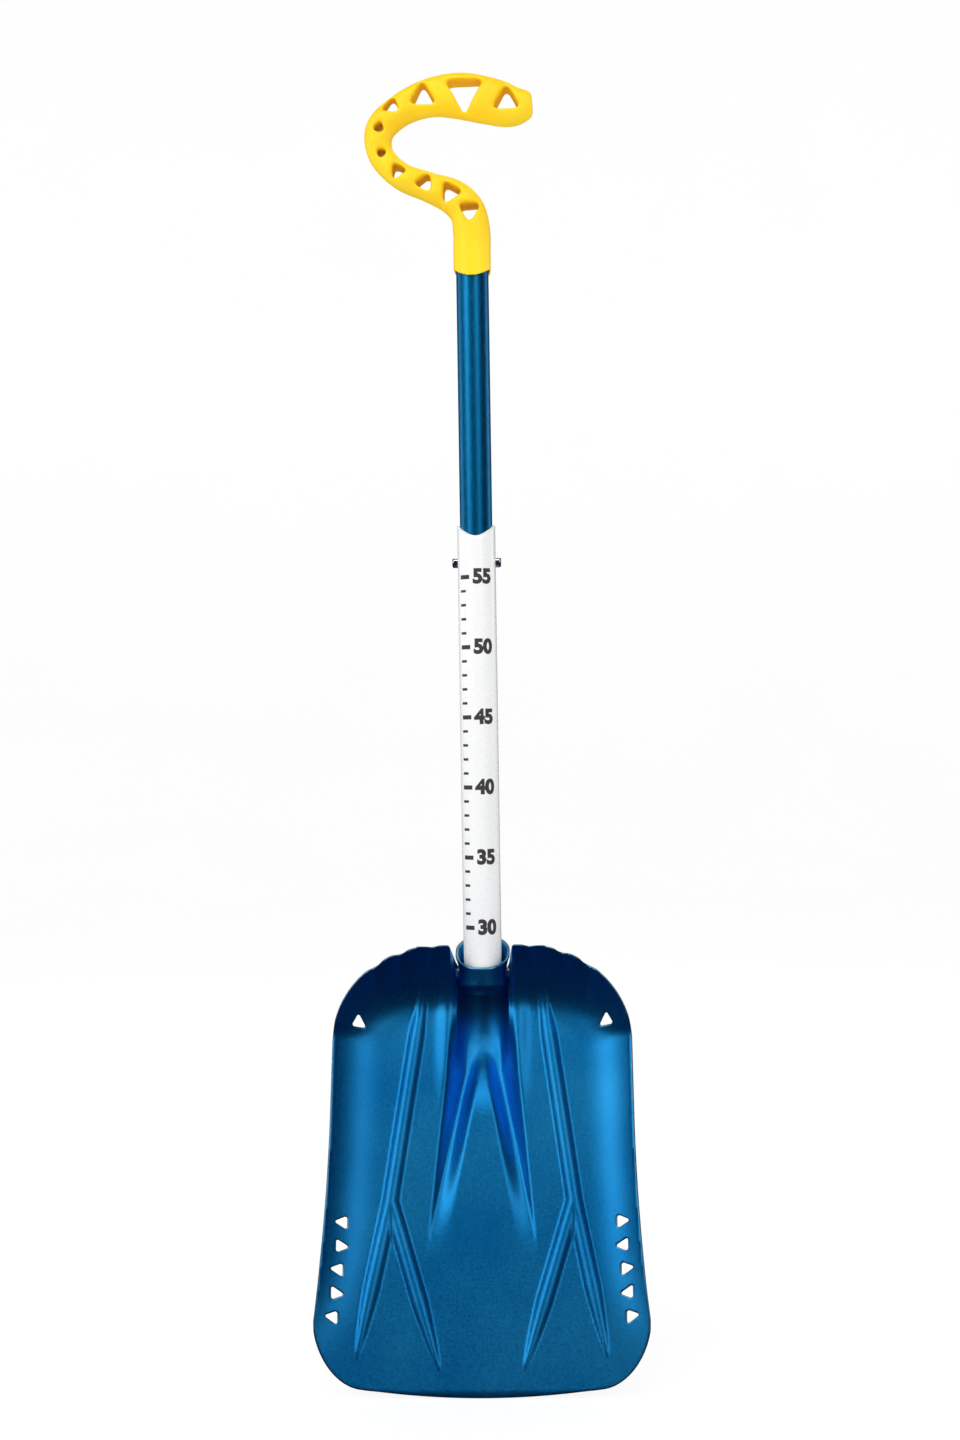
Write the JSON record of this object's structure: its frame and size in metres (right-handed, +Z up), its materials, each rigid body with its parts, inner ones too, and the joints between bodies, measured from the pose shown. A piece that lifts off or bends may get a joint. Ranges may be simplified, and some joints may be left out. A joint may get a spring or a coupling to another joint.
{
  "type": "avalanche shovel",
  "caption": "Telescopic avalanche shovel with a pressed scoop blade, a two-part oval shaft with snap buttons and an open S-shaped grip.",
  "frame": {"origin": "middle of the footprint, at the height of the blade's tip", "axes": "+Z runs up the shaft to the grip, the hollow face of the blade looks along -Y, and +X is to the right seen from the front"},
  "size_m": [0.225, 0.1494, 0.9134],
  "materials": {
    "blade_blue": "satin blue anodised, pressed sheet",
    "shaft_blue": "satin blue anodised, drawn tube",
    "shaft_white": "gloss white powder coat with a printed black scale",
    "button_chrome": "polished",
    "rivet_metal": "bare, satin",
    "spring_steel": "bare strip",
    "guide_black": "moulded, matt",
    "grip_yellow": "moulded, fine matt grain"
  },
  "bodies": {
    "blade_assembly": {"blade": "blade_blue", "collar": "blade_blue", "collar_rivets": "rivet_metal"},
    "lower_shaft": {"lower_shaft": "shaft_white", "lower_spring_clip": "spring_steel"},
    "upper_shaft": {"upper_shaft": "shaft_blue", "upper_shaft_guide": "guide_black", "upper_spring_clip": "spring_steel", "grip": "grip_yellow", "grip_rivet": "rivet_metal"},
    "upper_button_left": {"upper_button_left": "button_chrome"},
    "upper_button_right": {"upper_button_right": "button_chrome"},
    "lower_button_left": {"lower_button_left": "button_chrome"},
    "lower_button_right": {"lower_button_right": "button_chrome"}
  },
  "joints": [
    {"name": "blade_release", "type": "slide", "parent": "blade_assembly", "child": "lower_shaft", "axis": [0, 0, 1], "range_m": [0, 0.06], "deforming": ["lower_button_left", "lower_button_right", "lower_spring_clip"]},
    {"name": "shaft_telescope", "type": "slide", "parent": "lower_shaft", "child": "upper_shaft", "axis": [0, 0, 1], "range_m": [-0.178, 0], "deforming": ["upper_button_left", "upper_button_right", "upper_spring_clip"]},
    {"name": "upper_button_left_press", "type": "slide", "parent": "upper_shaft", "child": "upper_button_left", "axis": [1, 0, 0], "range_m": [0, 0.0058], "stiffness_N_per_m": 2500, "springref_m": -0.002, "deforming": ["upper_spring_clip"]},
    {"name": "upper_button_right_press", "type": "slide", "parent": "upper_shaft", "child": "upper_button_right", "axis": [-1, 0, 0], "range_m": [0, 0.0058], "stiffness_N_per_m": 2500, "springref_m": -0.002, "deforming": ["upper_spring_clip"]},
    {"name": "lower_button_left_press", "type": "slide", "parent": "lower_shaft", "child": "lower_button_left", "axis": [1, 0, 0], "range_m": [0, 0.0037], "stiffness_N_per_m": 2500, "springref_m": -0.002, "deforming": ["lower_spring_clip"]},
    {"name": "lower_button_right_press", "type": "slide", "parent": "lower_shaft", "child": "lower_button_right", "axis": [-1, 0, 0], "range_m": [0, 0.0037], "stiffness_N_per_m": 2500, "springref_m": -0.002, "deforming": ["lower_spring_clip"]}
  ]
}
